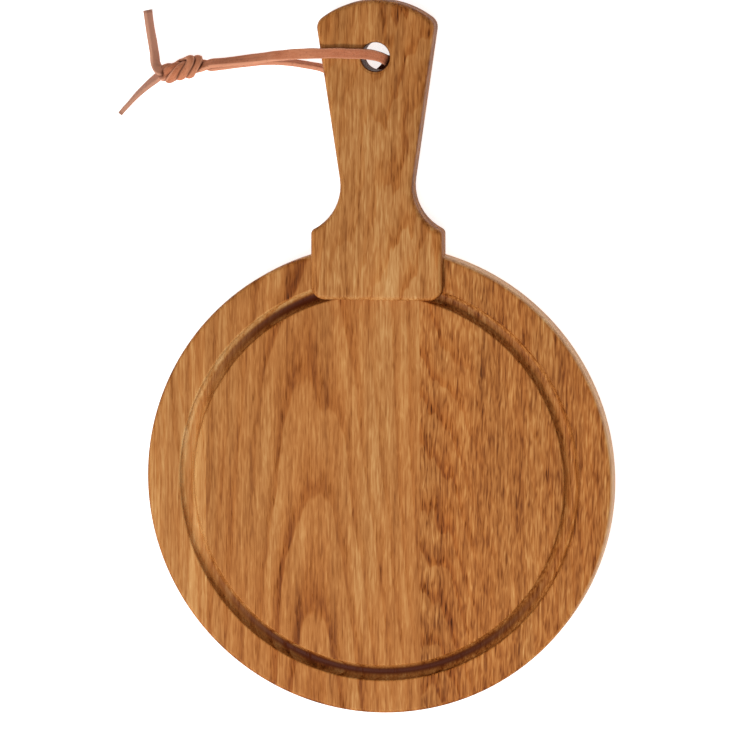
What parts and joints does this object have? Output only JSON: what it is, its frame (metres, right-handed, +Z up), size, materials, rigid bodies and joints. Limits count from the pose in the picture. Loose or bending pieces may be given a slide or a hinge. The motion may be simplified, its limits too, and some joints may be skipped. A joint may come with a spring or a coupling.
{
  "type": "serving board",
  "caption": "Round wooden serving board with a juice groove, a handle lapped onto its rim and a knotted leather hanging thong.",
  "frame": {"origin": "middle of the disc's underside, on the surface that the board lies on", "axes": "+Z up out of the serving face, +Y from the disc along the handle, +X to the right of someone who looks at the serving face with the handle at the top"},
  "size_m": [0.2459, 0.35, 0.0215],
  "materials": {
    "oak_left": "oiled oak, pale straight grain",
    "oak_middle": "oiled oak, arched flat-sawn grain",
    "oak_right": "oiled oak, reddish with coarse pores",
    "oak_handle": "oiled oak, straight grain along the handle",
    "beech": "raw beech dowel",
    "leather": "undyed tan leather lace, matt"
  },
  "bodies": {
    "board": {"plank_left": "oak_left", "plank_middle": "oak_middle", "plank_right": "oak_right", "handle": "oak_handle", "dowel_1": "beech", "dowel_2": "beech", "dowel_3": "beech", "dowel_4": "beech"},
    "thong": {"thong_top_strand": "leather", "thong_lower_strand": "leather", "thong_knot": "leather", "thong_upper_end": "leather", "thong_lower_end": "leather"}
  },
  "joints": [
    {"name": "thong_swing", "type": "hinge", "parent": "board", "child": "thong", "pos_m": [0, 0.2075, 0.011], "axis": [0, 0, 1], "range_deg": [-180, 40]}
  ]
}
